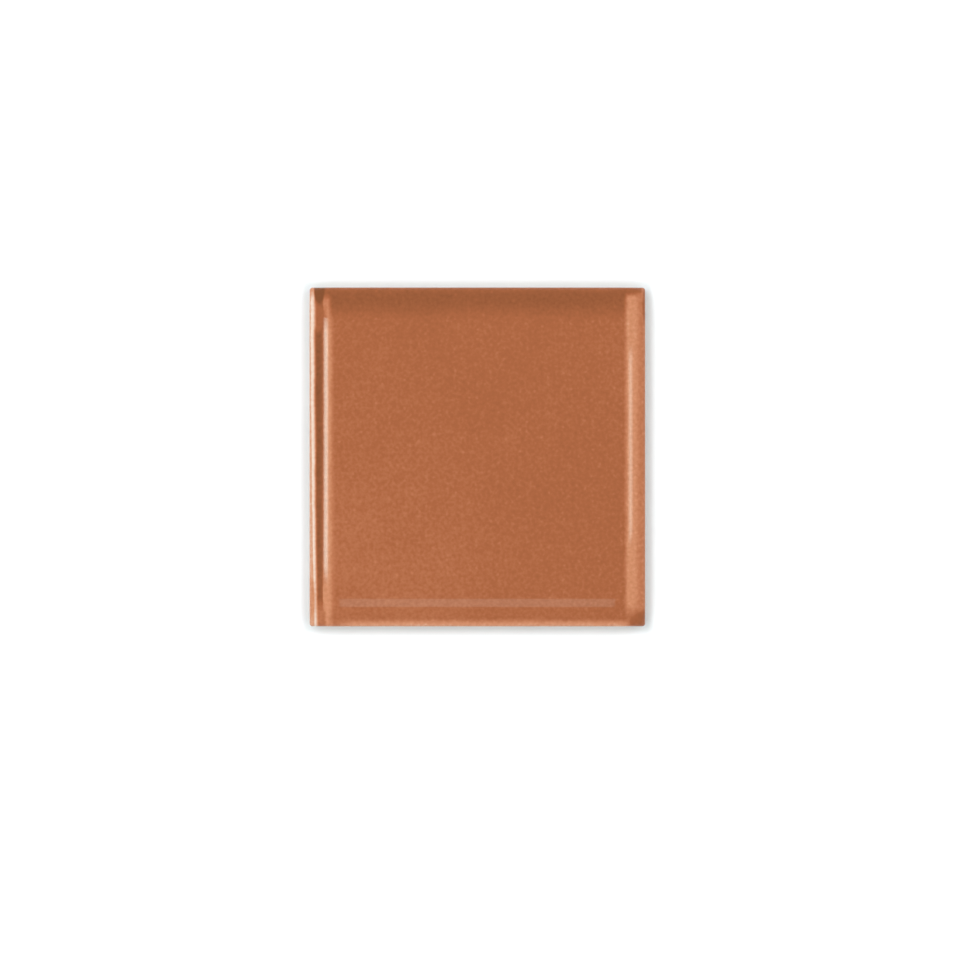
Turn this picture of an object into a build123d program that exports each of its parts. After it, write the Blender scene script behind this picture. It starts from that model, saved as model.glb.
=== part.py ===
"""Square glazed wall tile with cushioned edges and a keyed back.

Millimetres, +Z up. The origin is the middle of the back, on the bonding plane, so the tile
lies on z = 0 with its glazed face up. X runs across the tile and Y along it.
"""

import os

from build123d import *

# Overall size
tile_width = 107.0
tile_length = 108.0
tile_thickness = 8.0

# Cushioned face: a level field that rolls down towards the edges
cushion_reach = 9.0  # from the edge of the tile to the level field
cushion_radius = 30.0
field_corner_radius = 0.6

# Edges
rim_radius = 1.2  # where the cushion turns down into the side
corner_radius = 0.9  # upright corners, in plan
back_arris = 0.5  # bevel round the back

# Keyed back: shallow drafted pockets between ribs, inside a plain border
pocket_columns = 6
pocket_rows = 6
pocket_depth = 0.8
pocket_draft = 30.0  # degrees from upright
pocket_corner_radius = 1.5
rib_width = 3.6
back_border = 6.5


def blank() -> Part:
    """The pressed block before its edges are shaped."""
    return extrude(Rectangle(tile_width, tile_length), tile_thickness)


def cushion() -> Part:
    """A larger slab, rounded off all round its top, that gives the face its roll-off.

    Its rounding starts at the level field and would run on past the edges of the tile.
    """
    overhang = cushion_radius - cushion_reach
    outline = RectangleRounded(
        tile_width + 2 * overhang,
        tile_length + 2 * overhang,
        cushion_radius + field_corner_radius,
    )
    slab_depth = 2 * cushion_radius
    slab = Pos(0, 0, tile_thickness - slab_depth) * extrude(outline, slab_depth)
    face = slab.faces().sort_by(Axis.Z)[-1]
    return fillet(face.edges(), cushion_radius)


def round_rim(body: Part) -> Part:
    """Rounds the line where the cushion meets the four sides.

    The round runs on from the middle of each side to its corners, which dip lower.
    """
    sides = body.faces().filter_by(Axis.X) + body.faces().filter_by(Axis.Y)
    rim = [side.edges().sort_by(Axis.Z)[-1] for side in sides]
    return fillet(rim, rim_radius)


def trim_corners(body: Part) -> Part:
    """Takes the sharp upright corners off, in plan."""
    outline = RectangleRounded(tile_width, tile_length, corner_radius)
    return body & extrude(outline, tile_thickness)


def bevel_back(body: Part) -> Part:
    """Bevels the edge round the back."""
    back = body.faces().sort_by(Axis.Z)[0]
    return chamfer(back.outer_wire().edges(), back_arris)


def pockets() -> list[Part]:
    """The hollows between the ribs of the back, drafted so that the die lets go."""
    field_width = tile_width - 2 * back_border
    field_length = tile_length - 2 * back_border
    pocket_width = (field_width - (pocket_columns - 1) * rib_width) / pocket_columns
    pocket_length = (field_length - (pocket_rows - 1) * rib_width) / pocket_rows
    mouth = RectangleRounded(pocket_width, pocket_length, pocket_corner_radius)
    pocket = extrude(mouth, pocket_depth, taper=pocket_draft)
    places = GridLocations(
        pocket_width + rib_width,
        pocket_length + rib_width,
        pocket_columns,
        pocket_rows,
    )
    return [place * pocket for place in places]


def tile() -> Part:
    """The whole tile, pressed and fired as one piece."""
    body = blank() & cushion()
    body = round_rim(body)
    body = trim_corners(body)
    body = bevel_back(body)
    return body - pockets()


os.makedirs("parts", exist_ok=True)
export_step(tile(), "parts/tile.step")
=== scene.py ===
"""A square glazed wall tile, laid face up in a plain studio.

The clay body and its keyed back are one mesh, made by a node tree from the sizes of the real
tile. Its glaze is a tinted glass over pale clay, so that its colour follows how deep it lies.
Along the face's edges and at its corners, that depth is set to paint in light and shade.
"""

import logging
import math
from dataclasses import dataclass
from enum import Enum
from typing import Any
from typing import Union

import bpy
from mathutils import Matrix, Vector

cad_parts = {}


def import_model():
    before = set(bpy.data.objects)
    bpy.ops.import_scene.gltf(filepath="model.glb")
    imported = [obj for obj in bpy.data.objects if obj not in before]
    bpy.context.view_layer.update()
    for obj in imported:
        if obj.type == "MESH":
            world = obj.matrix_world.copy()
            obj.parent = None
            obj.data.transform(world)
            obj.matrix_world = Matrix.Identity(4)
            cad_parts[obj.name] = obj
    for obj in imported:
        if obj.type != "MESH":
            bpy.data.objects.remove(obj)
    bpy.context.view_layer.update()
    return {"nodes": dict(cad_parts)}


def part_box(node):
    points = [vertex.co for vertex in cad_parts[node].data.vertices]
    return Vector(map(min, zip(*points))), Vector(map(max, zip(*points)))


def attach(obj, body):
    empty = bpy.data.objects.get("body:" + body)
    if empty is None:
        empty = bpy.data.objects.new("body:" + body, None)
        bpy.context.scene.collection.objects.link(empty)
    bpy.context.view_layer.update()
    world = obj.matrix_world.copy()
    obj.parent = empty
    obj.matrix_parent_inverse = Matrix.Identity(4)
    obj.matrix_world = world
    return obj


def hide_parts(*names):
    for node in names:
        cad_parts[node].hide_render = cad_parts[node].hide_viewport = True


MM = 0.001
NOISE_MIDDLE = 0.5  # what every noise swings about

# What the tile's mesh stores for its finishes
GLAZE_HEIGHT = "above_glaze_line"
RIM_DROP = "below_rim"
BACK_MASK = "keyed_back"

# The cube that is shaped into the tile's body
CUBE_HALF = 0.5
CUBE_BACK = -0.49  # only the faces of its back lie lower

# The photograph's frame, in pixels
PICTURE_SIDE = 960.0
TILE_CENTRE_PX = (477.4, 456.95)
TILE_LENGTH_PX = 339.0

log = logging.getLogger("glazed_tile")

Number = Union[float, "Field"]
Colour = tuple[float, float, float, float]
WHITE: Colour = (1.0, 1.0, 1.0, 1.0)


class Edge(Enum):
    """The four edges of the tile, as they lie in the picture, by axis and direction."""

    LEFT = ("X", -1.0)
    RIGHT = ("X", 1.0)
    UPPER = ("Y", 1.0)
    LOWER = ("Y", -1.0)


def srgb(red: int, green: int, blue: int) -> Colour:
    """Turns a screen colour into the linear colour that shaders take.

    Args:
        red: Red, from 0 to 255.
        green: Green, from 0 to 255.
        blue: Blue, from 0 to 255.

    Returns:
        The linear colour, with an alpha of 1.
    """

    def linear(level: int) -> float:
        """Gives one channel's linear value."""
        share = level / 255.0
        return share / 12.92 if share <= 0.04045 else ((share + 0.055) / 1.055) ** 2.4

    return (linear(red), linear(green), linear(blue), 1.0)


def put_in_scene(name: str, data: bpy.types.ID) -> bpy.types.Object:
    """Makes an object of a mesh, a lamp or a camera and links it to the scene.

    Args:
        name: The object's name.
        data: What it holds.

    Returns:
        The object, at the origin.
    """
    thing = bpy.data.objects.new(name, data)
    bpy.context.scene.collection.objects.link(thing)
    return thing


@dataclass(frozen=True)
class Field:
    """A number that varies over a surface, as a socket of a node tree.

    Arithmetic on it adds math nodes to the tree, so that a shape or a finish can be written as
    the formula that it follows.
    """

    tree: bpy.types.NodeTree
    socket: bpy.types.NodeSocket

    def _math(self, operation: str, *others: Number) -> "Field":
        """Adds one math node.

        Args:
            operation: The math node's operation.
            others: The values that follow this one.

        Returns:
            The node's result.
        """
        node = self.tree.nodes.new("ShaderNodeMath")
        node.operation = operation
        for place, value in enumerate((self, *others)):
            if isinstance(value, Field):
                self.tree.links.new(value.socket, node.inputs[place])
            else:
                node.inputs[place].default_value = value
        return Field(self.tree, node.outputs[0])

    def __add__(self, other: Number) -> "Field":
        """Adds a number."""
        return self._math("ADD", other)

    def __radd__(self, other: float) -> "Field":
        """Adds this to a plain number."""
        return self._math("ADD", other)

    def __sub__(self, other: Number) -> "Field":
        """Takes a number off."""
        return self._math("SUBTRACT", other)

    def __rsub__(self, other: float) -> "Field":
        """Takes this off a plain number."""
        return self._math("MULTIPLY_ADD", -1.0, other)

    def __mul__(self, other: Number) -> "Field":
        """Multiplies by a number."""
        return self._math("MULTIPLY", other)

    def __rmul__(self, other: float) -> "Field":
        """Multiplies a plain number by this."""
        return self._math("MULTIPLY", other)

    def __truediv__(self, other: Number) -> "Field":
        """Divides by a number."""
        return self._math("DIVIDE", other)

    def __pow__(self, power: float) -> "Field":
        """Raises this to a power."""
        return self._math("POWER", power)

    def root(self) -> "Field":
        """Gives the square root, and zero below zero."""
        return self.at_least(0.0)._math("SQRT")

    def sine(self) -> "Field":
        """Gives the sine of an angle in radians."""
        return self._math("SINE")

    def size(self) -> "Field":
        """Gives the value without its sign."""
        return self._math("ABSOLUTE")

    def sign(self) -> "Field":
        """Gives 1 above zero and -1 below it."""
        return self._math("SIGN")

    def part(self) -> "Field":
        """Gives what is left after the whole number is taken off."""
        return self._math("FRACT")

    def at_least(self, floor: Number) -> "Field":
        """Holds the value at or above a floor."""
        return self._math("MAXIMUM", floor)

    def at_most(self, ceiling: Number) -> "Field":
        """Holds the value at or below a ceiling."""
        return self._math("MINIMUM", ceiling)

    def below(self, limit: Number) -> "Field":
        """Gives 1 where the value is below a limit, and 0 elsewhere."""
        return self._math("LESS_THAN", limit)

    def above(self, limit: Number) -> "Field":
        """Gives 1 where the value is above a limit, and 0 elsewhere."""
        return self._math("GREATER_THAN", limit)

    def ease(self, start: Number, end: Number) -> "Field":
        """Goes smoothly from 0 to 1 as the value goes from start to end.

        Args:
            start: Where the result leaves 0.
            end: Where the result reaches 1. It may be below the start.

        Returns:
            The eased share.
        """
        share = ((self - start) / (end - start)).at_least(0.0).at_most(1.0)
        return share * share * (3.0 - 2.0 * share)


class Bench:
    """A node tree under construction."""

    def __init__(self, tree: bpy.types.NodeTree) -> None:
        """Takes the tree that nodes are added to.

        Args:
            tree: A geometry or shader node tree.
        """
        self.tree = tree

    def plug(self, value: Any, socket: bpy.types.NodeSocket) -> None:
        """Links a value to a socket, or sets it there.

        Args:
            value: A field, a socket or a plain value.
            socket: The input that takes it.
        """
        if isinstance(value, Field):
            self.tree.links.new(value.socket, socket)
        elif isinstance(value, bpy.types.NodeSocket):
            self.tree.links.new(value, socket)
        else:
            socket.default_value = value

    def add(self, kind: str, inputs: dict[str, Any], **settings: Any) -> bpy.types.Node:
        """Adds one node.

        Args:
            kind: The node's type name.
            inputs: What goes into its sockets, by socket name.
            settings: The node's own settings.

        Returns:
            The new node.
        """
        node = self.tree.nodes.new(kind)
        for name, value in settings.items():
            setattr(node, name, value)
        for name, value in inputs.items():
            self.plug(value, node.inputs[name])
        return node

    def field(self, socket: bpy.types.NodeSocket) -> Field:
        """Makes a socket usable in formulas."""
        return Field(self.tree, socket)

    def split(self, vector: bpy.types.NodeSocket) -> tuple[Field, Field, Field]:
        """Splits a vector into its three numbers.

        Args:
            vector: The socket that gives the vector.

        Returns:
            The X, Y and Z parts.
        """
        node = self.add("ShaderNodeSeparateXYZ", {"Vector": vector})
        x, y, z = node.outputs
        return (self.field(x), self.field(y), self.field(z))

    def vector(self, x: Number, y: Number, z: Number) -> bpy.types.NodeSocket:
        """Makes a vector of three numbers.

        Args:
            x: The X part.
            y: The Y part.
            z: The Z part.

        Returns:
            The socket that gives the vector.
        """
        return self.add("ShaderNodeCombineXYZ", {"X": x, "Y": y, "Z": z}).outputs[0]

    def attribute(self, name: str) -> Field:
        """Gives a number that the mesh stores at its points, in a material."""
        return self.field(self.add("ShaderNodeAttribute", {}, attribute_name=name).outputs["Fac"])

    def noise(self, vector: bpy.types.NodeSocket, grain: float, detail: float = 2.0) -> Field:
        """Adds a soft noise of a given real size.

        Args:
            vector: The coordinates, in metres.
            grain: The size of one blotch, in metres.
            detail: How many finer octaves are laid over it.

        Returns:
            The noise, from 0 to 1 and about 0.5 in the middle.
        """
        node = self.add(
            "ShaderNodeTexNoise",
            {"Vector": vector, "Scale": 1.0 / grain, "Detail": detail},
        )
        return self.field(node.outputs["Fac"])

    def swing(self, vector: bpy.types.NodeSocket, grain: float, detail: float = 2.0) -> Field:
        """Gives the same noise, swinging about zero."""
        return self.noise(vector, grain, detail) - NOISE_MIDDLE

    def mix(self, share: Field, first: Any, second: Any) -> bpy.types.NodeSocket:
        """Mixes two colours.

        Args:
            share: How much of the second colour there is, from 0 to 1.
            first: A colour, or the socket that gives it.
            second: A colour, or the socket that gives it.

        Returns:
            The socket that gives the mixed colour.
        """
        node = self.add("ShaderNodeMix", {"Factor": share}, data_type="RGBA")
        colours = {"A_Color": first, "B_Color": second}
        for socket in node.inputs:
            if socket.identifier in colours:
                self.plug(colours[socket.identifier], socket)
        return next(socket for socket in node.outputs if socket.identifier == "Result_Color")


class Finish(Bench):
    """A material under construction, with one shader for its surface."""

    def __init__(self, name: str) -> None:
        """Starts a material.

        Args:
            name: The material's name.
        """
        self.material = bpy.data.materials.new(name)
        self.material.use_nodes = True
        super().__init__(self.material.node_tree)
        self.shader = self.tree.nodes["Principled BSDF"]

    def dress(self, looks: dict[str, Any]) -> None:
        """Sets or links the shader's sockets.

        Args:
            looks: What goes into them, by socket name.
        """
        for name, value in looks.items():
            self.plug(value, self.shader.inputs[name])


class ShapeTree(Bench):
    """A geometry node tree that makes a shape from named sizes."""

    def __init__(self, name: str) -> None:
        """Starts an empty tree with one geometry output.

        Args:
            name: The tree's name.
        """
        super().__init__(bpy.data.node_groups.new(name, "GeometryNodeTree"))
        face = self.tree.interface
        face.new_socket("Geometry", in_out="OUTPUT", socket_type="NodeSocketGeometry")
        self.entry = self.tree.nodes.new("NodeGroupInput")
        self.values: dict[str, Any] = {}

    def ask(self, name: str, kind: str, value: Any) -> Field:
        """Adds a named input to the tree.

        Args:
            name: The input's name.
            kind: Its socket type, such as Float, Int or Material.
            value: What the modifier sets it to.

        Returns:
            The input, for use in formulas.
        """
        item = self.tree.interface.new_socket(name, in_out="INPUT", socket_type=f"NodeSocket{kind}")
        self.values[item.identifier] = value
        return self.field(self.entry.outputs[name])

    def position(self) -> tuple[Field, Field, Field]:
        """Gives the three coordinates of each point."""
        return self.split(self.add("GeometryNodeInputPosition", {}).outputs["Position"])

    def work(
        self,
        kind: str,
        geometry: bpy.types.NodeSocket,
        inputs: dict[str, Any],
        **settings: Any,
    ) -> bpy.types.NodeSocket:
        """Passes geometry through one node.

        Args:
            kind: The node's type name.
            geometry: The socket that gives the geometry.
            inputs: What goes into the node's other sockets, by socket name.
            settings: The node's own settings.

        Returns:
            The socket that gives the changed geometry.
        """
        return self.add(kind, {"Geometry": geometry, **inputs}, **settings).outputs["Geometry"]

    def join(self, *parts: bpy.types.NodeSocket) -> bpy.types.NodeSocket:
        """Joins geometry.

        Args:
            parts: The sockets that give the parts.

        Returns:
            The socket that gives them together.
        """
        node = self.add("GeometryNodeJoinGeometry", {})
        for part in parts:
            self.tree.links.new(part, node.inputs["Geometry"])
        return node.outputs["Geometry"]

    def make(self, name: str, result: bpy.types.NodeSocket) -> bpy.types.Object:
        """Runs the tree and keeps what it makes as a plain mesh.

        Args:
            name: The new object's name.
            result: The socket that gives the finished geometry.

        Returns:
            An object at the origin, with no modifier.
        """
        leave = self.tree.nodes.new("NodeGroupOutput")
        self.tree.links.new(result, leave.inputs["Geometry"])
        piece = put_in_scene(name, bpy.data.meshes.new(name))
        modifier = piece.modifiers.new(name, "NODES")
        modifier.node_group = self.tree
        for identifier, value in self.values.items():
            modifier[identifier] = value
        evaluated = piece.evaluated_get(bpy.context.evaluated_depsgraph_get())
        mesh = bpy.data.meshes.new_from_object(evaluated)
        piece.modifiers.clear()
        piece.data = mesh
        mesh.name = name
        for slot in reversed(range(len(mesh.materials))):
            if mesh.materials[slot] is None:
                mesh.materials.pop(index=slot)
        return piece


@dataclass(frozen=True)
class FiredClay:
    """The pale, dry clay body, bare on the back and low on the sides."""

    pale: Colour = srgb(233, 211, 192)
    dark: Colour = srgb(211, 181, 157)
    iron: Colour = srgb(146, 100, 74)
    iron_share: float = 0.55  # how much of the iron's colour a speck takes on
    grain: float = 0.5 * MM
    grain_shade: float = 0.6  # how far the grain darkens the clay
    cloud: float = 22.0 * MM
    cloud_shade: float = 0.8
    shade_lift: float = 0.2  # how much of both is taken off again
    speck: float = 1.1 * MM
    speck_onset: tuple[float, float] = (0.74, 0.8)  # noise at which specks show, at a share of 0
    back_specks: float = 0.05
    roughness: float = 0.86
    roughness_swing: float = 0.12
    shine: float = 0.3
    tooth: float = 0.06 * MM

    def group(self) -> bpy.types.NodeTree:
        """Builds the shader node group that bare clay is made of, in every material that shows it.

        Returns:
            The group, with a speck share as its input, and a colour, a roughness and a height as
            outputs.
        """
        tree = bpy.data.node_groups.new("Fired clay", "ShaderNodeTree")
        face = tree.interface
        face.new_socket("Speck Share", in_out="INPUT", socket_type="NodeSocketFloat")
        face.new_socket("Color", in_out="OUTPUT", socket_type="NodeSocketColor")
        face.new_socket("Roughness", in_out="OUTPUT", socket_type="NodeSocketFloat")
        face.new_socket("Height", in_out="OUTPUT", socket_type="NodeSocketFloat")
        bench = Bench(tree)
        entry = tree.nodes.new("NodeGroupInput")
        leave = tree.nodes.new("NodeGroupOutput")
        place = bench.add("ShaderNodeTexCoord", {}).outputs["Object"]
        grain = bench.noise(place, self.grain, detail=3.0)
        cloud = bench.noise(place, self.cloud)
        speck = bench.noise(place, self.speck, detail=1.0)
        share = bench.field(entry.outputs["Speck Share"])
        starts, ends = self.speck_onset
        iron = speck.ease(starts - share, ends - share)
        shade = grain * self.grain_shade + cloud * self.cloud_shade - self.shade_lift
        body = bench.mix(shade.at_least(0.0).at_most(1.0), self.pale, self.dark)
        specked = bench.mix(iron * self.iron_share, body, self.iron)
        uneven = self.roughness + (grain - NOISE_MIDDLE) * self.roughness_swing
        bench.plug(specked, leave.inputs["Color"])
        bench.plug(uneven, leave.inputs["Roughness"])
        bench.plug(grain * self.tooth, leave.inputs["Height"])
        return tree

    def material(self, group: bpy.types.NodeTree) -> bpy.types.Material:
        """Makes the bare back's material.

        Args:
            group: The fired clay group.

        Returns:
            The material.
        """
        finish = Finish("Bare clay back")
        clay = finish.add("ShaderNodeGroup", {"Speck Share": self.back_specks}, node_tree=group)
        bump = finish.add("ShaderNodeBump", {"Height": clay.outputs["Height"], "Distance": 1.0})
        finish.dress({
            "Base Color": clay.outputs["Color"],
            "Roughness": clay.outputs["Roughness"],
            "Specular IOR Level": self.shine,
            "Normal": bump.outputs["Normal"],
        })
        return finish.material


@dataclass(frozen=True)
class FacePlan:
    """Where the points of the face lie, told by their distances from the tile's edges."""

    x: Field
    y: Field
    half: Vector
    stray: Field  # how far lines along the edges wander outwards

    def inward(self, edge: Edge) -> Field:
        """Gives the distance in from an edge.

        Args:
            edge: The edge.

        Returns:
            The distance, in metres.
        """
        axis, way = edge.value
        if axis == "X":
            return self.half.x - self.x * way
        return self.half.y - self.y * way


@dataclass(frozen=True)
class ShadingStep:
    """A line along an edge, beyond which the glaze's colour goes darker or lighter as painted shade
    and light.

    Sizes are in metres from the edge, and a depth of 1 is the glaze's depth on the level face.
    """

    edge: Edge
    starts: float
    ends: float
    depth: float
    drift: float = 0.0  # how much further in the line lies at the lower or right end
    taper: tuple[float, float] = (0.0, 0.0)  # fading length at the upper or left end, and the other
    kept: tuple[float, float] = (0.0, 0.0)  # share of the step that is left at those two ends
    taper_start: float = 0.3  # share of a taper's length, next to the end, that is fully faded

    def share(self, plan: FacePlan) -> Field:
        """Gives how far the glaze has gone over to the step's own depth, which paints light and
        shade.

        Args:
            plan: The face.

        Returns:
            The share, from 0 before the line to 1 beyond it.
        """
        upright = self.edge.value[0] == "X"
        ends = (Edge.UPPER, Edge.LOWER) if upright else (Edge.LEFT, Edge.RIGHT)
        inward = plan.inward(self.edge) + plan.stray
        if self.drift:
            span = 2.0 * (plan.half.y if upright else plan.half.x)
            inward = inward - (plan.inward(ends[0]) / span) ** 2.0 * self.drift
        share = inward.ease(self.starts, self.ends)
        for end, taper, kept in zip(ends, self.taper, self.kept):
            if taper:
                rise = plan.inward(end).ease(self.taper_start * taper, taper)
                share = share * (kept + (1.0 - kept) * rise)
        return share


@dataclass(frozen=True)
class ShadingPool:
    """An oval patch near a corner where the glaze's colour goes darker or lighter, as painted shade
    and light.
    """

    across: Edge
    along: Edge
    inward: tuple[float, float]  # from those two edges to the middle of the patch
    radius: tuple[float, float]  # across and along
    softness: float  # half the width of its edge, as a share of the radius
    depth: float

    def share(self, plan: FacePlan) -> Field:
        """Gives how far the glaze has gone over to the patch's own depth, which paints shade and
        light.

        Args:
            plan: The face.

        Returns:
            The share, from 0 outside the patch to 1 inside it.
        """
        across = (plan.inward(self.across) - self.inward[0]) / self.radius[0]
        along = (plan.inward(self.along) - self.inward[1]) / self.radius[1]
        reach = (across * across + along * along).root()
        return reach.ease(1.0 + self.softness, 1.0 - self.softness)


@dataclass(frozen=True)
class TerracottaGlaze:
    """A tinted, glossy glaze over pale clay, light where it is thin and brown where it gathers.
    Along the face's edges and at its corners, its lighter and darker bands are painted light and
    shade.
    """

    # Colours by depth. The thin and light ones also serve as painted light along the edges, the
    # gathered one as painted shade there, and the bare one as a painted highlight on the left rim.
    bare: Colour = srgb(246, 222, 204)
    thin_and_lit: Colour = srgb(216, 148, 110)
    light: Colour = srgb(195, 123, 86)
    full: Colour = srgb(174, 102, 65)
    gathered_and_shade: Colour = srgb(136, 81, 49)
    thin_depth: float = 0.55
    light_depth: float = 0.78
    gathered_depth: float = 1.4
    mottle: float = 1.1 * MM
    mottle_depth: float = 0.3
    speck: float = 0.75 * MM  # a speck's radius, where its light has faded out
    speck_spacing: float = 2.3 * MM
    speck_depth: float = 0.09
    speck_range: tuple[float, float] = (0.45, 1.0)  # of a cell's random number, faint to full
    cloud: float = 16.0 * MM
    cloud_depth: float = 0.1
    lift_depth: float = 0.06
    lift_reach: tuple[float, float] = (20.0 * MM, -80.0 * MM)  # of x + y, lighter towards the lower left corner
    streak: tuple[float, float] = (14.0 * MM, 1.4 * MM)
    streak_turn: float = math.radians(13.0)
    streak_depth: float = 0.07
    streak_lean: float = 0.6
    streak_reach: tuple[float, float] = (5.0 * MM, -45.0 * MM)  # of x + streak_lean * y
    waver: float = 0.4 * MM  # how far the lines along the edges stray
    waver_size: float = 8.0 * MM
    side_depth: float = 0.92
    side_turn: float = 1.3 * MM  # how far below the rim the sides take on their own depth
    run_size: float = 2.6 * MM  # runs down the sides
    run_squeeze: float = 0.2  # their width as a share of their length
    run_depth: float = 0.5
    bead_depth: float = 0.3  # where the glaze gathers along its lower line
    bead_reach: float = 0.8 * MM
    bead_full: float = 0.2  # share of that reach where the bead is at its fullest
    bare_specks: float = 0.02  # share of iron specks in the clay below the glaze
    roughness: float = 0.3
    coat_roughness: float = 0.03
    coat_ior: float = 1.5
    # Bands along the edges and patches at the corners: painted light and shade, set as glaze depth
    painted_light_and_shade: tuple[Union[ShadingStep, ShadingPool], ...] = (
        # Upper and lower edges: a painted shade band along the upper edge, a little lighter at its
        # rim, and a painted light strip along the lower rim
        ShadingStep(Edge.UPPER, 11.4 * MM, 3.9 * MM, 1.22),
        ShadingStep(Edge.UPPER, 2.4 * MM, 0.4 * MM, 1.1),
        ShadingStep(Edge.LOWER, 2.9 * MM, 0.5 * MM, 0.54, taper=(15.0 * MM, 7.5 * MM)),
        # Right edge: a painted light band, a thin painted shade line at its upper end, and painted
        # shade in the corner below it
        ShadingStep(
            Edge.RIGHT, 7.3 * MM, 5.3 * MM, 0.6, taper=(3.6 * MM, 8.0 * MM), kept=(0.0, 0.25)
        ),
        ShadingStep(Edge.RIGHT, 3.7 * MM, 1.5 * MM, 0.78, taper=(2.6 * MM, 8.0 * MM)),
        ShadingStep(Edge.RIGHT, 1.8 * MM, 0.8 * MM, 0.79, taper=(0.0, 8.0 * MM)),
        ShadingPool(Edge.RIGHT, Edge.UPPER, (0.2 * MM, 5.8 * MM), (0.75 * MM, 5.2 * MM), 0.4, 1.05),
        ShadingPool(Edge.RIGHT, Edge.LOWER, (0.0, 0.0), (5.0 * MM, 5.0 * MM), 0.3, 1.1),
        # Left edge: a painted light glow inside the reflected strip, a little darker under the
        # strip, then a painted shade band that is uneven at both ends
        ShadingStep(Edge.LEFT, 7.6 * MM, 5.7 * MM, 0.72, taper=(4.6 * MM, 0.0)),
        ShadingStep(Edge.LEFT, 8.6 * MM, 5.6 * MM, 0.58, taper=(16.0 * MM, 0.0)),
        ShadingStep(Edge.LEFT, 6.1 * MM, 5.2 * MM, 0.9, taper=(12.0 * MM, 24.0 * MM)),
        ShadingStep(Edge.LEFT, 4.6 * MM, 4.0 * MM, 1.2),
        ShadingStep(Edge.LEFT, 4.2 * MM, 3.3 * MM, 1.33, taper=(0.0, 30.0 * MM), kept=(0.0, 0.1)),
        ShadingPool(Edge.LEFT, Edge.UPPER, (2.9 * MM, 9.4 * MM), (1.9 * MM, 4.8 * MM), 0.3, 1.06),
        ShadingPool(Edge.LEFT, Edge.LOWER, (3.6 * MM, 0.0), (1.7 * MM, 7.4 * MM), 0.35, 0.88),
        # Left rim: the glaze thins to nearly bare clay, and this pale rim also stands in for a
        # painted highlight
        ShadingStep(Edge.LEFT, 2.45 * MM, 1.0 * MM, 0.04, drift=0.74 * MM),
        ShadingStep(Edge.LEFT, 0.6 * MM, 0.25 * MM, 0.47, drift=1.2 * MM),
        ShadingPool(Edge.LEFT, Edge.UPPER, (0.0, 0.0), (2.0 * MM, 2.6 * MM), 0.7, 0.62),
        ShadingPool(Edge.LEFT, Edge.LOWER, (0.0, 8.5 * MM), (1.9 * MM, 7.0 * MM), 0.4, 0.62),
        # Painted shade: the darkest patch, in the upper left corner
        ShadingPool(Edge.LEFT, Edge.UPPER, (3.2 * MM, 0.0), (1.7 * MM, 5.3 * MM), 0.2, 1.42),
    )

    def side(self, bench: Bench, place: bpy.types.NodeSocket, above: Field) -> Field:
        """Gives the glaze's depth on the sides, where it has run down to its lower line.

        Args:
            bench: The material's node tree.
            place: The object coordinates.
            above: The height above the glaze's lower line.

        Returns:
            The depth.
        """
        x, y, z = bench.split(place)
        drawn_out = bench.vector(x, y, self.run_squeeze * z)
        runs = bench.swing(drawn_out, self.run_size)
        bead = above.ease(self.bead_reach, self.bead_full * self.bead_reach)
        return self.side_depth + runs * self.run_depth + bead * self.bead_depth

    def depth(self, bench: Bench, place: bpy.types.NodeSocket, half: Vector) -> Field:
        """Gives how deep the glaze lies on the face, as a share of its depth in the middle.
        Along the edges and at the corners, this depth paints in light and shade.

        Args:
            bench: The material's node tree.
            place: The object coordinates.
            half: Half the tile's size.

        Returns:
            The depth.
        """
        x, y, _ = bench.split(place)
        lift = (x + y).ease(*self.lift_reach)
        depth = 1.0 - lift * self.lift_depth
        stray = bench.swing(place, self.waver_size) * self.waver
        plan = FacePlan(x, y, half, stray)
        # Painted light and shade along the edges and at the corners
        for mark in self.painted_light_and_shade:
            depth = depth + (mark.depth - depth) * mark.share(plan)

        mottle = bench.swing(place, self.mottle, detail=1.0)
        cells = bench.add(
            "ShaderNodeTexVoronoi",
            {"Vector": place, "Scale": 1.0 / self.speck_spacing},
            voronoi_dimensions="2D",
        )
        strength, _, _ = bench.split(cells.outputs["Color"])
        near = bench.field(cells.outputs["Distance"]).ease(self.speck / self.speck_spacing, 0.0)
        speck = near * strength.ease(*self.speck_range)
        cloud = bench.swing(place, self.cloud)
        length, width = self.streak
        stretched = bench.add(
            "ShaderNodeMapping",
            {
                "Vector": place,
                "Rotation": (0.0, 0.0, self.streak_turn),
                "Scale": (length, width, width),
            },
            vector_type="TEXTURE",
        )
        brushed = (x + self.streak_lean * y).ease(*self.streak_reach)
        streak = bench.swing(stretched.outputs["Vector"], 1.0) * brushed
        depth = depth + mottle * self.mottle_depth - speck * self.speck_depth
        return depth + cloud * self.cloud_depth + streak * self.streak_depth

    def material(self, tile: "CushionedTile", clay: bpy.types.NodeTree) -> bpy.types.Material:
        """Makes the glazed face's material, with bare clay where the glaze stops on the sides.

        Args:
            tile: The tile that it dresses.
            clay: The fired clay group.

        Returns:
            The material.
        """
        finish = Finish("Terracotta glaze")
        place = finish.add("ShaderNodeTexCoord", {}).outputs["Object"]
        above = finish.attribute(GLAZE_HEIGHT)
        on_side = finish.attribute(RIM_DROP).ease(0.0, self.side_turn)
        face_depth = self.depth(finish, place, tile.half)
        depth = face_depth + (self.side(finish, place, above) - face_depth) * on_side

        tint = finish.add("ShaderNodeValToRGB", {"Fac": depth / self.gathered_depth})
        stops = tint.color_ramp.elements
        stops[0].color = self.bare
        stops[1].color = self.gathered_and_shade
        stops.new(self.thin_depth / self.gathered_depth).color = self.thin_and_lit
        stops.new(self.light_depth / self.gathered_depth).color = self.light
        stops.new(1.0 / self.gathered_depth).color = self.full

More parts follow.
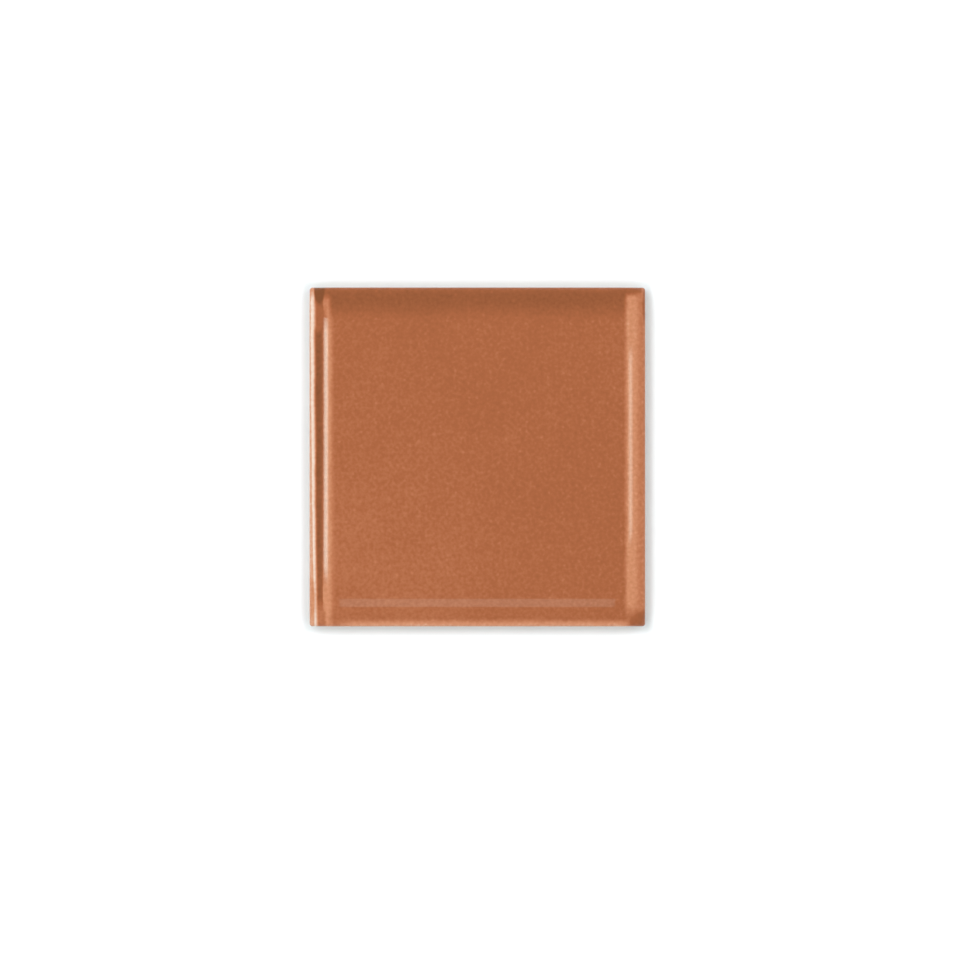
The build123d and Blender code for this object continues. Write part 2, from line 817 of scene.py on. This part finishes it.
        body = finish.add("ShaderNodeGroup", {"Speck Share": self.bare_specks}, node_tree=clay)
        glazed = above.ease(-tile.glaze_edge, tile.glaze_edge)
        dry = finish.field(body.outputs["Roughness"])
        tooth = finish.field(body.outputs["Height"]) * (1.0 - glazed)
        bump = finish.add("ShaderNodeBump", {"Height": tooth, "Distance": 1.0})
        finish.dress({
            "Base Color": finish.mix(glazed, body.outputs["Color"], tint.outputs["Color"]),
            "Roughness": dry + (self.roughness - dry) * glazed,
            "Coat Weight": glazed,
            "Coat Roughness": self.coat_roughness,
            "Coat IOR": self.coat_ior,
            "Specular IOR Level": 0.0,
            "Normal": bump.outputs["Normal"],
        })
        return finish.material


@dataclass
class CushionedTile:
    """The tile: a pressed body with a cushioned, glazed face and a keyed back.

    Sizes are in metres, and the overall box is the frame's own.
    """

    low: Vector
    high: Vector
    reach: float = 9.0 * MM  # from the edge to the level face
    roll_radius: float = 30.0 * MM
    field_corner: float = 0.6 * MM
    rim_radius: float = 1.2 * MM
    upright_corner: float = 0.9 * MM
    arris: float = 0.5 * MM
    wave_depth: float = 0.012 * MM
    wave_size: float = 11.0 * MM
    glaze_line: float = 2.3 * MM
    glaze_line_sway: float = 1.5 * MM
    glaze_line_size: float = 7.0 * MM
    glaze_lip: float = 0.16 * MM
    glaze_edge: float = 0.1 * MM  # half the height over which the glaze thins out to nothing
    pocket_grid: tuple[int, int] = (6, 6)
    pocket_depth: float = 0.8 * MM
    pocket_draft: float = math.radians(30.0)
    pocket_corner: float = 1.5 * MM
    pocket_corner_points: int = 5
    rib: float = 3.6 * MM
    border: float = 6.5 * MM
    lines: int = 232
    rows: int = 16
    rim_share: float = 0.12  # share of the lines that lie on the rim
    rim_blend: float = 3.0  # power by which two rims add up at a corner
    edge_density: float = 0.25
    line_spread: float = 3.0  # power by which the lines open out towards the middle
    weld: float = 0.001 * MM
    crease: float = math.radians(28.0)  # edges that fold by more are sharp

    @property
    def half(self) -> Vector:
        """Gives half the tile's size."""
        return (self.high - self.low) / 2.0

    @property
    def rim_width(self) -> float:
        """Gives the rim's width in plan, where its round leaves the cushion."""
        return self.rim_radius * (1.0 - self.reach / self.roll_radius)

    @property
    def rim_drop(self) -> float:
        """Gives how far the rim's round takes the edge down, below the cushion's own fall.

        Returns:
            The drop, in metres.
        """
        lean = math.asin(self.reach / self.roll_radius)
        fall = self.roll(self.reach) - self.roll(self.reach - self.rim_width)
        return self.rim_radius * math.cos(lean) - fall

    @property
    def shoulder(self) -> float:
        """Gives the height at which the rim ends and the upright sides begin."""
        return self.high.z - self.roll(self.reach) - self.rim_drop

    def roll(self, past: float) -> float:
        """Gives how far the cushion has fallen at a distance past the level face."""
        return self.roll_radius - math.sqrt(self.roll_radius ** 2 - past ** 2)

    def pocket_size(self, axis: int) -> float:
        """Gives a pocket's size at its mouth.

        Args:
            axis: 0 across the tile, 1 along it.

        Returns:
            The size, in metres.
        """
        count = self.pocket_grid[axis]
        clear = 2.0 * self.half[axis] - 2.0 * self.border - (count - 1) * self.rib
        return clear / count

    def from_edge(self, share: Field, half: Field, rim: Field) -> Field:
        """Spreads lattice lines closely over the rim and ever wider towards the middle.

        Args:
            share: How far in a line lies, from 0 at the edge to 1 at the middle.
            half: Half the tile's size.
            rim: The rim's width.

        Returns:
            The line's distance from the edge.
        """
        turn = (1.0 - (share / self.rim_share).at_most(1.0)) * (math.pi / 2.0)
        inner = ((share - self.rim_share) / (1.0 - self.rim_share)).at_least(0.0)
        spread = inner * self.edge_density + inner ** self.line_spread * (1.0 - self.edge_density)
        return rim * (1.0 - turn.sine()) + (half - rim) * spread

    def body(self, tree: ShapeTree) -> bpy.types.NodeSocket:
        """Makes the face and the sides from a lattice, open at the back.

        Args:
            tree: The shape's tree.

        Returns:
            The socket that gives the mesh.
        """
        half_x = tree.ask("Half Width", "Float", self.half.x)
        half_y = tree.ask("Half Length", "Float", self.half.y)
        height = tree.ask("Thickness", "Float", self.high.z)
        reach = tree.ask("Cushion Reach", "Float", self.reach)
        radius = tree.ask("Cushion Radius", "Float", self.roll_radius)
        rim = tree.ask("Rim Width", "Float", self.rim_width)
        drop = tree.ask("Rim Drop", "Float", self.rim_drop)
        corner = tree.ask("Corner Radius", "Float", self.upright_corner)
        arris = tree.ask("Back Arris", "Float", self.arris)
        wave = tree.ask("Wave Depth", "Float", self.wave_depth)
        line = tree.ask("Glaze Line", "Float", self.glaze_line)
        sway = tree.ask("Glaze Line Sway", "Float", self.glaze_line_sway)
        lip = tree.ask("Glaze Lip", "Float", self.glaze_lip)
        lines = tree.ask("Lines", "Int", self.lines)
        rows = tree.ask("Rows", "Int", self.rows)

        block = tree.add(
            "GeometryNodeMeshCube",
            {"Vertices X": lines, "Vertices Y": lines, "Vertices Z": rows},
        )
        across, along, up = tree.position()
        shell = tree.work(
            "GeometryNodeDeleteGeometry",
            block.outputs["Mesh"],
            {"Selection": up.below(CUBE_BACK)},
            domain="FACE",
        )

        # Plan: distance from the nearest edge each way, then the upright corners rounded
        edge_x = self.from_edge(1.0 - across.size() / CUBE_HALF, half_x, rim)
        edge_y = self.from_edge(1.0 - along.size() / CUBE_HALF, half_y, rim)
        corner_x = ((corner - edge_x) / corner).at_least(0.0)
        corner_y = ((corner - edge_y) / corner).at_least(0.0)
        pull_x = corner * corner_x * (1.0 - (1.0 - corner_y * corner_y / 2.0).root())
        pull_y = corner * corner_y * (1.0 - (1.0 - corner_x * corner_x / 2.0).root())
        size_x = half_x - edge_x - pull_x
        size_y = half_y - edge_y - pull_y
        flat_place = tree.vector(across.sign() * size_x, along.sign() * size_y, 0.0)

        # Face: a level field, the cushion's roll-off and the rim
        past_x = (reach + self.field_corner - half_x + size_x).at_least(0.0)
        past_y = (reach + self.field_corner - half_y + size_y).at_least(0.0)
        past = ((past_x * past_x + past_y * past_y).root() - self.field_corner).at_least(0.0)
        roll = radius - (radius * radius - past * past).root()
        rim_x = ((rim - edge_x) / rim).at_least(0.0)
        rim_y = ((rim - edge_y) / rim).at_least(0.0)
        drop_x = drop * (1.0 - (1.0 - rim_x * rim_x).root())
        drop_y = drop * (1.0 - (1.0 - rim_y * rim_y).root())
        edge_drop = (drop_x ** self.rim_blend + drop_y ** self.rim_blend) ** (1.0 / self.rim_blend)
        waves = tree.noise(flat_place, self.wave_size, detail=1.0)
        face = height - roll - edge_drop - wave * waves

        # Sides: straight down to the bevel round the back, the glaze ending in a ragged line
        step = (up + CUBE_HALF) * (rows - 1.0)
        share = ((step - 1.0) / (rows - 2.0)).at_least(0.0)
        level = arris * step.at_most(1.0) + (face - arris) * share
        ragged = line + sway * tree.swing(flat_place, self.glaze_line_size, detail=3.0)
        above = level - ragged
        glazed = above.ease(-self.glaze_edge, self.glaze_edge)
        inset = lip * (1.0 - glazed) + arris * (1.0 - step.at_most(1.0))
        side_x = size_x * (1.0 - inset / half_x)
        side_y = size_y * (1.0 - inset / half_y)

        for name, value in ((GLAZE_HEIGHT, above), (RIM_DROP, face - level)):
            shell = tree.work(
                "GeometryNodeStoreNamedAttribute",
                shell,
                {"Name": name, "Value": value},
                data_type="FLOAT",
                domain="POINT",
            )
        place = tree.vector(across.sign() * side_x, along.sign() * side_y, level)
        return tree.work("GeometryNodeSetPosition", shell, {"Position": place})

    def back(self, tree: ShapeTree, body: bpy.types.NodeSocket) -> bpy.types.NodeSocket:
        """Closes the body with a back that has a grid of shallow drafted pockets.

        Args:
            tree: The shape's tree.
            body: The open body.

        Returns:
            The socket that gives the back's mesh.
        """
        size_x = tree.ask("Pocket Width", "Float", self.pocket_size(0))
        size_y = tree.ask("Pocket Length", "Float", self.pocket_size(1))
        depth = tree.ask("Pocket Depth", "Float", self.pocket_depth)
        corner = tree.ask("Pocket Corner", "Float", self.pocket_corner)
        rib = tree.ask("Rib Width", "Float", self.rib)
        columns = tree.ask("Pocket Columns", "Int", self.pocket_grid[0])
        rows = tree.ask("Pocket Rows", "Int", self.pocket_grid[1])
        slope = tree.ask("Pocket Slope", "Float", math.tan(self.pocket_draft))

        sharp = tree.add(
            "GeometryNodeCurvePrimitiveQuadrilateral",
            {"Width": size_x, "Height": size_y},
        )
        mouth = tree.add(
            "GeometryNodeFilletCurve",
            {"Curve": sharp.outputs["Curve"], "Radius": corner, "Count": self.pocket_corner_points},
            mode="POLY",
        ).outputs["Curve"]
        lid = tree.add("GeometryNodeFillCurve", {"Curve": mouth}, mode="NGONS")
        sunk = tree.add(
            "GeometryNodeExtrudeMesh",
            {"Mesh": lid.outputs["Mesh"], "Offset": (0.0, 0.0, 1.0), "Offset Scale": depth},
        )
        drafted = tree.work(
            "GeometryNodeScaleElements",
            sunk.outputs["Mesh"],
            {"Selection": sunk.outputs["Top"], "Scale": 1.0 - 2.0 * depth * slope / size_x},
        )
        pocket = tree.add("GeometryNodeFlipFaces", {"Mesh": drafted}).outputs["Mesh"]

        grid = tree.add(
            "GeometryNodeMeshGrid",
            {
                "Size X": (size_x + rib) * (columns - 1.0),
                "Size Y": (size_y + rib) * (rows - 1.0),
                "Vertices X": columns,
                "Vertices Y": rows,
            },
        ).outputs["Mesh"]
        pockets = tree.add("GeometryNodeInstanceOnPoints", {"Points": grid, "Instance": pocket})
        mouths = tree.add("GeometryNodeInstanceOnPoints", {"Points": grid, "Instance": mouth})
        holes = tree.work("GeometryNodeRealizeInstances", mouths.outputs["Instances"], {})
        neighbours = tree.add("GeometryNodeInputMeshEdgeNeighbors", {})
        around = tree.field(neighbours.outputs["Face Count"])
        outline = tree.add(
            "GeometryNodeMeshToCurve",
            {"Mesh": body, "Selection": around.below(2.0)},
        )
        plan = tree.join(outline.outputs["Curve"], holes)
        land = tree.add("GeometryNodeFillCurve", {"Curve": plan}, mode="TRIANGLES")
        ribs = tree.add("GeometryNodeFlipFaces", {"Mesh": land.outputs["Mesh"]})
        both = tree.join(ribs.outputs["Mesh"], pockets.outputs["Instances"])
        return tree.work(
            "GeometryNodeStoreNamedAttribute",
            tree.work("GeometryNodeRealizeInstances", both, {}),
            {"Name": BACK_MASK, "Value": True},
            data_type="BOOLEAN",
            domain="FACE",
        )

    def build(self, glaze: bpy.types.Material, clay: bpy.types.Material) -> bpy.types.Object:
        """Makes the whole tile as one closed mesh.

        Args:
            glaze: The material of the face and sides.
            clay: The material of the back.

        Returns:
            The tile.
        """
        tree = ShapeTree("Cushioned tile")
        glaze_slot = tree.ask("Glaze", "Material", glaze)
        clay_slot = tree.ask("Clay", "Material", clay)
        body = self.body(tree)
        whole = tree.join(body, self.back(tree, body))
        welded = tree.work("GeometryNodeMergeByDistance", whole, {"Distance": self.weld})
        smooth = tree.work("GeometryNodeSetShadeSmooth", welded, {})
        fold = tree.field(tree.add("GeometryNodeInputMeshEdgeAngle", {}).outputs["Unsigned Angle"])
        creased = tree.work(
            "GeometryNodeSetShadeSmooth",
            smooth,
            {"Selection": fold.above(self.crease), "Shade Smooth": False},
            domain="EDGE",
        )
        real = tree.work("GeometryNodeRealizeInstances", creased, {})
        glazed = tree.work("GeometryNodeSetMaterial", real, {"Material": glaze_slot})
        keyed = tree.add(
            "GeometryNodeInputNamedAttribute",
            {"Name": BACK_MASK},
            data_type="BOOLEAN",
        )
        dressed = tree.work(
            "GeometryNodeSetMaterial",
            glazed,
            {"Selection": keyed.outputs["Attribute"], "Material": clay_slot},
        )
        return tree.make("cushioned_tile", dressed)


class SoftLight:
    """A lit panel of one or more panes, each of which fades towards its rim, as behind cloth."""

    def soften(
        self,
        lamp: bpy.types.AreaLight,
        fade_along: float,
        fade_across: float,
        panes: int = 1,
    ) -> None:
        """Fades the light of the panel's panes towards their ends and sides.

        Args:
            lamp: The panel's lamp.
            fade_along: The share of a pane's first size that fades at each end.
            fade_across: The share of a pane's second size that fades at each side.
            panes: How many panes there are each way.
        """
        lamp.use_nodes = True
        bench = Bench(lamp.node_tree)
        emission = next(node for node in lamp.node_tree.nodes if node.type == "EMISSION")
        along, across, _ = bench.split(bench.add("ShaderNodeNewGeometry", {}).outputs["Parametric"])
        along = (along * panes).part()
        across = (across * panes).part()
        ends = along.ease(0.0, fade_along) * along.ease(1.0, 1.0 - fade_along)
        sides = across.ease(0.0, fade_across) * across.ease(1.0, 1.0 - fade_across)
        bench.plug(ends * sides, emission.inputs["Strength"])

    def aim(
        self,
        lamp: bpy.types.AreaLight,
        spot: Vector,
        way: Vector,
        distance: float,
    ) -> bpy.types.Object:
        """Hangs a panel so that it faces a spot.

        Args:
            lamp: The panel's lamp.
            spot: The spot.
            way: The direction from the spot to the panel.
            distance: How far away it hangs.

        Returns:
            The panel.
        """
        panel = put_in_scene(lamp.name, lamp)
        panel.location = spot + way * distance
        panel.rotation_euler = way.to_track_quat("Z", "Y").to_euler()
        return panel


@dataclass(frozen=True)
class Softbox(SoftLight):
    """A panel hung where its reflection falls on a chosen place on the glaze.

    The reflection's place and size are in metres on the tile.
    """

    name: str
    edge: Edge
    inward: float  # from the edge to the middle of the reflection
    along: float  # from the tile's middle to the middle of the reflection
    width: float
    length: float
    radiance: float
    fade_across: float  # share of the width that fades on each side
    fade_along: float  # share of the length that fades at each end
    tint: tuple[float, float, float] = (0.84, 1.0, 0.9)
    distance: float = 1.1

    def hang(self, tile: CushionedTile, eye: Vector) -> bpy.types.Object:
        """Places the panel along the mirrored line of sight.

        Args:
            tile: The tile that reflects it.
            eye: Where the camera is.

        Returns:
            The lamp.
        """
        axis, way = self.edge.value
        slope = (tile.reach - self.inward) / tile.roll_radius
        rise = math.sqrt(1.0 - slope * slope)
        if axis == "X":
            spot = Vector((way * (tile.half.x - self.inward), self.along, tile.high.z))
            normal = Vector((way * slope, 0.0, rise))
        else:
            spot = Vector((self.along, way * (tile.half.y - self.inward), tile.high.z))
            normal = Vector((0.0, way * slope, rise))
        sight = (spot - eye).normalized()
        mirrored = sight.reflect(normal)
        view_range = (eye - spot).length
        lamp = bpy.data.lights.new(self.name, "AREA")
        lamp.shape = "RECTANGLE"
        spread = 2.0 * self.width / tile.roll_radius + self.width / view_range
        lamp.size_y = self.distance * spread
        lamp.size = self.length * (view_range + self.distance) / view_range
        lamp.energy = self.radiance * math.pi * lamp.size * lamp.size_y
        lamp.color = self.tint
        self.soften(lamp, self.fade_along, self.fade_across)
        return self.aim(lamp, spot, mirrored, self.distance)


@dataclass(frozen=True)
class Lamp(SoftLight):
    """A square studio lamp or paned window, off towards one corner of the tile.

    Only windows are mirrored. They stand where no straight edge shows them to the camera.
    """

    name: str
    bearing: float  # degrees round from +X
    lean: float  # degrees from overhead
    share: float  # share of the light on the level face, before its fading
    size: float
    mirrored: bool  # whether the glaze shows it
    panes: int = 1  # each way
    fade: float = 0.0  # share of a pane's size that fades at each side
    distance: float = 1.2

    def hang(self) -> bpy.types.Object:
        """Places the lamp so that it faces the tile.

        Returns:
            The lamp.
        """
        bearing = math.radians(self.bearing)
        lean = math.radians(self.lean)
        way = Vector((
            math.sin(lean) * math.cos(bearing),
            math.sin(lean) * math.sin(bearing),
            math.cos(lean),
        ))
        light = bpy.data.lights.new(self.name, "AREA")
        light.shape = "SQUARE"
        light.size = self.size
        light.energy = self.share * (math.pi * self.distance) ** 2 / math.cos(lean)
        if self.fade:
            self.soften(light, self.fade, self.fade, self.panes)
        lamp = self.aim(light, Vector(), way, self.distance)
        lamp.visible_glossy = self.mirrored
        return lamp


@dataclass
class Studio:
    """The plain pale floor, the soft light and the camera."""

    floor_size: float = 1.7
    floor_colour: Colour = srgb(243, 249, 252)
    floor_roughness: float = 0.9
    floor_glow: float = 0.25
    floor_glow_reach: tuple[float, float] = (0.1 * MM, 4.6 * MM)  # out from the tile's sides; this painted light grows outwards and whitens the shadow's tail
    floor_ledge: float = 0.7 * MM  # how far the floor reaches under the tile, where it is open
    floor_cut: float = 1.0 * MM  # how far that opening's corners are cut off
    camera_height: float = 1.2
    sensor: float = 36.0
    ambient: float = 0.10
    horizon: float = 0.6
    horizon_rise: tuple[float, float] = (0.45, 0.05)  # sine of the height where the light grows
    ring: float = 2.2
    ring_band: tuple[float, float] = (math.radians(47.0), math.radians(53.0))  # above the floor
    ring_fade: float = math.radians(1.5)
    ring_arc: tuple[float, float] = (math.radians(17.0), math.radians(12.0))  # off the tile's axes
    softboxes: tuple[Softbox, ...] = (
        Softbox(
            "Left strip",
            Edge.LEFT,
            inward=5.32 * MM,
            along=2.7 * MM,
            width=2.15 * MM,
            length=87.4 * MM,
            radiance=9.6,
            fade_across=0.45,
            fade_along=0.08,
        ),
        Softbox(
            "Right strip",
            Edge.RIGHT,
            inward=4.8 * MM,
            along=3.5 * MM,
            width=2.2 * MM,
            length=63.0 * MM,
            radiance=4.6,
            fade_across=0.5,
            fade_along=0.07,
        ),
        Softbox(
            "Front strip",
            Edge.LOWER,
            inward=7.55 * MM,
            along=-0.5 * MM,
            width=2.95 * MM,
            length=94.0 * MM,
            radiance=1.25,
            fade_across=0.13,
            fade_along=0.05,
        ),
    )
    lamps: tuple[Lamp, ...] = (
        # Bearing, lean, share, size and whether it is mirrored, and a window's panes and fade
        Lamp("Upper left lamp", 143.0, 30.0, 0.36, 0.7, False),
        Lamp("Lower left lamp", 217.0, 35.0, 0.12, 0.6, False),
        Lamp("Upper right lamp", 37.0, 35.0, 0.13, 0.6, False),
        Lamp("Lower right lamp", 323.0, 35.0, 0.16, 0.6, False),
        Lamp("Upper left window", 135.0, 66.0, 0.04, 0.75, True, 3, 0.1),
        Lamp("Lower left window", 225.0, 66.0, 0.035, 0.75, True, 3, 0.1),
        Lamp("Upper right window", 45.0, 66.0, 0.04, 0.75, True, 3, 0.1),
        Lamp("Lower right window", 315.0, 66.0, 0.035, 0.75, True, 3, 0.1),
    )

    def pixel(self, tile: CushionedTile) -> float:
        """Gives the size of one pixel of the picture, on the tile.

        Args:
            tile: The tile.

        Returns:
            The size, in metres.
        """
        return 2.0 * tile.half.y / TILE_LENGTH_PX

    def camera(self, tile: CushionedTile) -> bpy.types.Object:
        """Sets the camera straight above, with the tile where it is in the picture.

        Args:
            tile: The tile.

        Returns:
            The camera.
        """
        middle = PICTURE_SIDE / 2.0
        pixel = self.pixel(tile)
        lens = bpy.data.cameras.new("Camera")
        lens.sensor_width = self.sensor
        lens.lens = self.sensor * self.camera_height / (PICTURE_SIDE * pixel)
        eye = put_in_scene("Camera", lens)
        eye.location = (
            (middle - TILE_CENTRE_PX[0]) * pixel,
            (TILE_CENTRE_PX[1] - middle) * pixel,
            tile.shoulder + self.camera_height,
        )
        bpy.context.scene.camera = eye
        return eye

    def ring_of_floor(self, tile: CushionedTile) -> bpy.types.Mesh:
        """Makes the floor's mesh, a square that is open under the tile.

        Args:
            tile: The tile that lies on it.

        Returns:
            The mesh.
        """
        half = self.floor_size / 2.0
        hole_x = tile.half.x - self.floor_ledge
        hole_y = tile.half.y - self.floor_ledge
        turns = ((-1.0, -1.0), (1.0, -1.0), (1.0, 1.0), (-1.0, 1.0))
        corners = [(half * x, half * y, 0.0) for x, y in turns]
        faces = []
        for turn, (x, y) in enumerate(turns):
            cut = [(hole_x, hole_y - self.floor_cut), (hole_x - self.floor_cut, hole_y)]
            if turn % 2:
                cut.reverse()
            first = len(corners)
            after = (turn + 1) % len(turns)
            corners += [(end_x * x, end_y * y, 0.0) for end_x, end_y in cut]
            faces.append((turn, first + 1, first))
            faces.append((turn, after, len(turns) + 2 * after, first + 1))
        mesh = bpy.data.meshes.new("Floor")
        mesh.from_pydata(corners, [], faces)
        return mesh

    def floor(self, tile: CushionedTile) -> bpy.types.Object:
        """Lays the pale floor, clear from below, its glow painted light that grows out from the
        tile:
        it whitens the tail of the tile's shadow and leaves the shadow close round it.

        Args:
            tile: The tile that lies on it.

        Returns:
            The floor.
        """
        finish = Finish("Pale floor")
        path = finish.add("ShaderNodeLightPath", {})
        seen = finish.field(path.outputs["Is Camera Ray"])
        seen = seen + finish.field(path.outputs["Is Glossy Ray"])
        seen = seen + finish.field(path.outputs["Is Transmission Ray"])
        x, y, _ = finish.split(finish.add("ShaderNodeTexCoord", {}).outputs["Object"])
        # The glow grows out from the tile's outline, as painted light over its shadow's tail
        out_x = (x.size() - tile.half.x).at_least(0.0)
        out_y = (y.size() - tile.half.y).at_least(0.0)
        away = (out_x * out_x + out_y * out_y).root().ease(*self.floor_glow_reach)
        finish.dress({
            "Base Color": self.floor_colour,
            "Roughness": self.floor_roughness,
            "Specular IOR Level": 0.0,
            "Emission Color": WHITE,
            "Emission Strength": seen.at_most(1.0) * away * self.floor_glow,
        })
        clear = finish.add("ShaderNodeBsdfTransparent", {}).outputs["BSDF"]
        below = finish.add("ShaderNodeNewGeometry", {}).outputs["Backfacing"]
        sides = finish.add("ShaderNodeMixShader", {"Fac": below})
        for surface, socket in zip((finish.shader.outputs["BSDF"], clear), sides.inputs[1:]):
            finish.plug(surface, socket)
        finish.plug(sides.outputs["Shader"], finish.tree.nodes["Material Output"].inputs["Surface"])
        plane = put_in_scene("Floor", self.ring_of_floor(tile))
        plane.data.materials.append(finish.material)
        return plane

    def tent(self) -> None:
        """Surrounds the tile with a faint light that grows to the horizon, white to the camera.

        Higher up, an arc of light faces each straight edge, and none faces the corners.
        """
        world = bpy.data.worlds.new("Pale room")
        bpy.context.scene.world = world
        world.use_nodes = True
        bench = Bench(world.node_tree)
        background = world.node_tree.nodes["Background"]
        background.inputs["Color"].default_value = WHITE
        x, y, rise = bench.split(bench.add("ShaderNodeTexCoord", {}).outputs["Generated"])
        strength = self.ambient + (self.horizon - self.ambient) * rise.ease(*self.horizon_rise)
        low, high = self.ring_band
        over = rise.ease(math.sin(low), math.sin(low + self.ring_fade))
        under = rise.ease(math.sin(high), math.sin(high - self.ring_fade))
        facing = x.size().at_least(y.size()) / (x * x + y * y).root()
        arc = facing.ease(*(math.cos(turn) for turn in self.ring_arc))
        strength = strength + over * under * arc * self.ring
        seen = bench.field(bench.add("ShaderNodeLightPath", {}).outputs["Is Camera Ray"])
        bench.plug(strength + (1.0 - strength) * seen, background.inputs["Strength"])


def main() -> None:
    """Builds the tile, its finishes and the studio."""
    logging.basicConfig(level=logging.INFO, format="%(name)s: %(message)s")
    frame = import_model()
    log.info("frame with %d node", len(frame["nodes"]))
    bpy.context.scene.view_settings.view_transform = "Standard"

    low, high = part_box("tile")
    tile = CushionedTile(low, high)
    clay = FiredClay()
    clay_group = clay.group()
    glaze = TerracottaGlaze()
    piece = tile.build(glaze.material(tile, clay_group), clay.material(clay_group))
    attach(piece, "root")
    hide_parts("tile")
    log.info("%s: %d faces", piece.name, len(piece.data.polygons))

    studio = Studio()
    eye = studio.camera(tile)
    studio.floor(tile)
    studio.tent()
    for softbox in studio.softboxes:
        panel = softbox.hang(tile, eye.location)
        log.info("%s at %s", panel.name, [round(value, 3) for value in panel.location])
    for lamp in studio.lamps:
        log.info("%s", lamp.hang().name)


if __name__ == "__main__":
    main()
